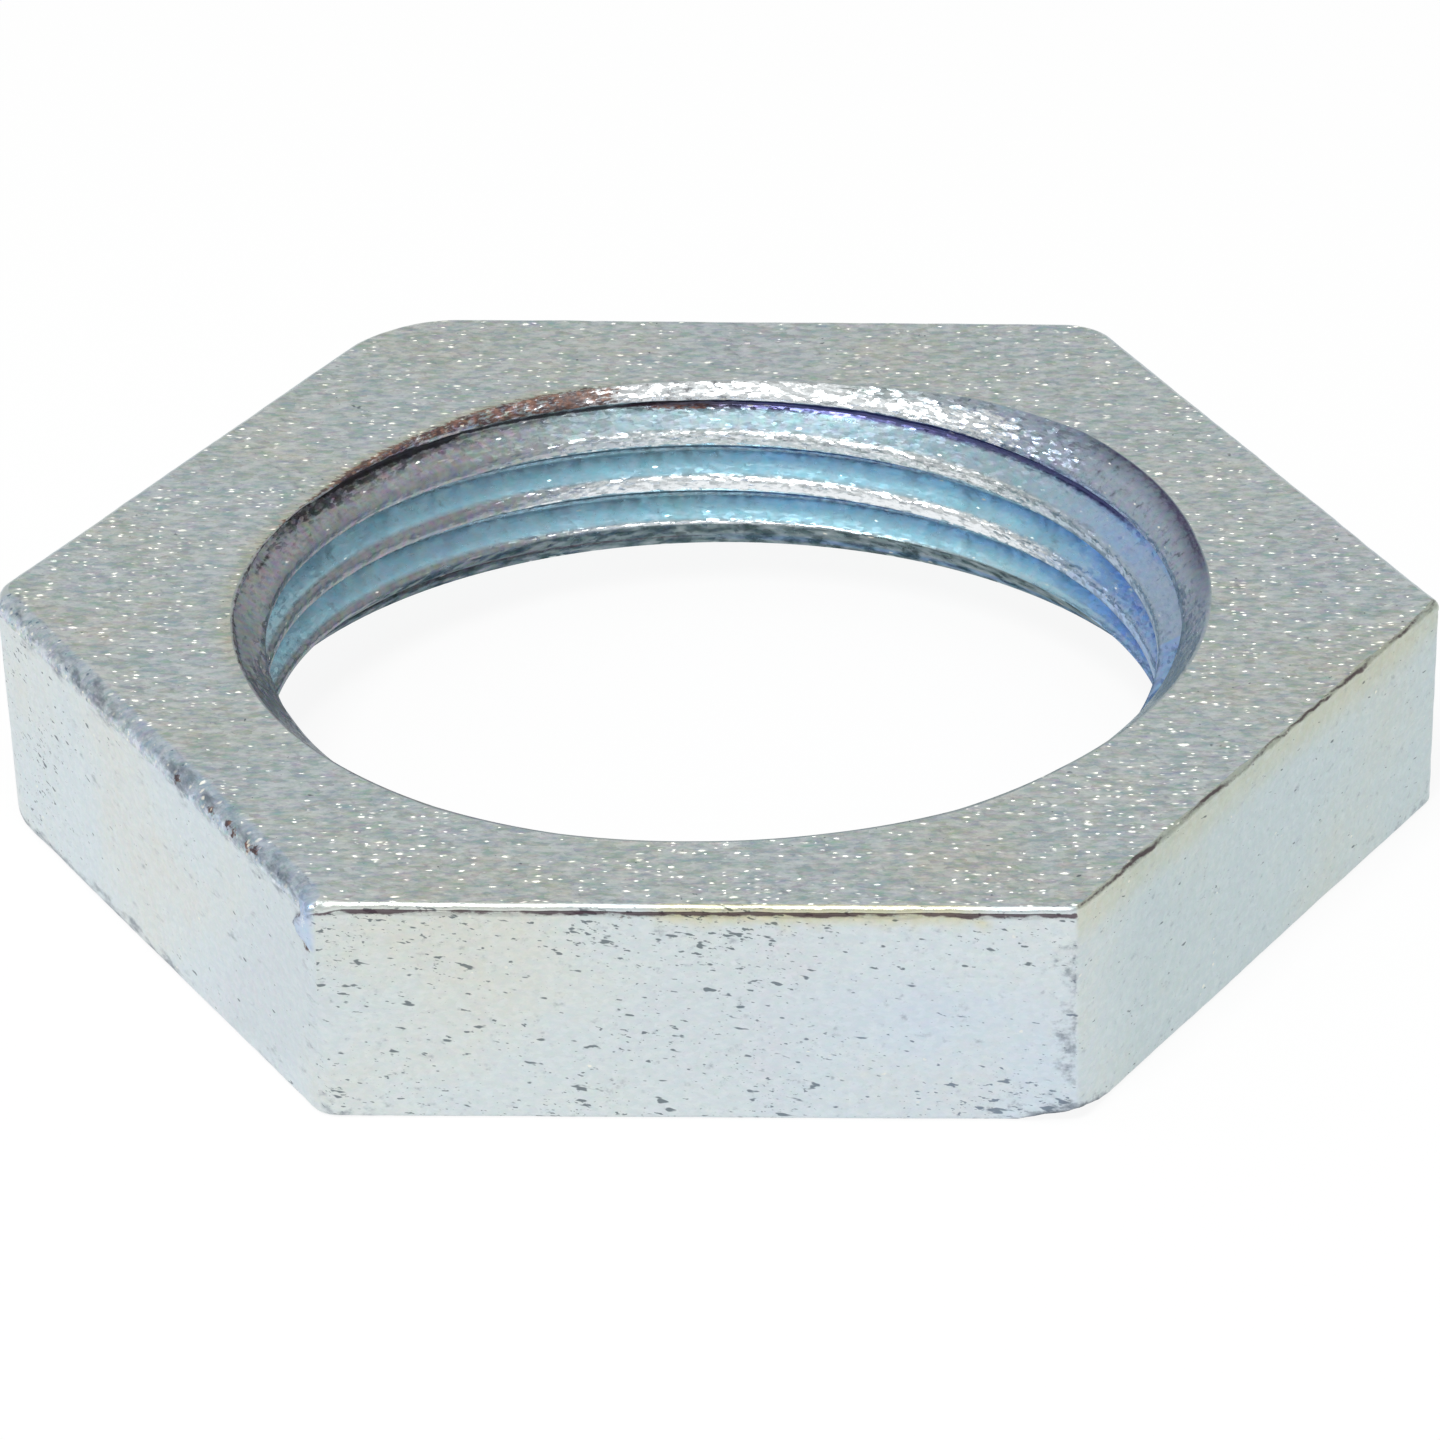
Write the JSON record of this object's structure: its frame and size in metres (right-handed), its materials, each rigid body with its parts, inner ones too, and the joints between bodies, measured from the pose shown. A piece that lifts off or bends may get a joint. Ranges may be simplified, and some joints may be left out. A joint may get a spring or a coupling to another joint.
{
  "type": "conduit locknut",
  "caption": "Thin hexagonal steel locknut for threaded conduit, zinc-plated, with a coarse pipe thread, countersunk mouths and a dished seat.",
  "frame": {"origin": "on the thread's axis, in the plane of the seat (the underside that bears on the box)", "axes": "+Z along the thread's axis from the seat to the outer face; two corners lie on the X axis and two flats face along Y"},
  "size_m": [0.063, 0.055, 0.0102],
  "materials": {
    "zinc_plated_steel": "bright zinc with a blue passivation, grainy and slightly iridescent"
  },
  "bodies": {
    "root": {"locknut": "zinc_plated_steel"}
  },
  "joints": []
}
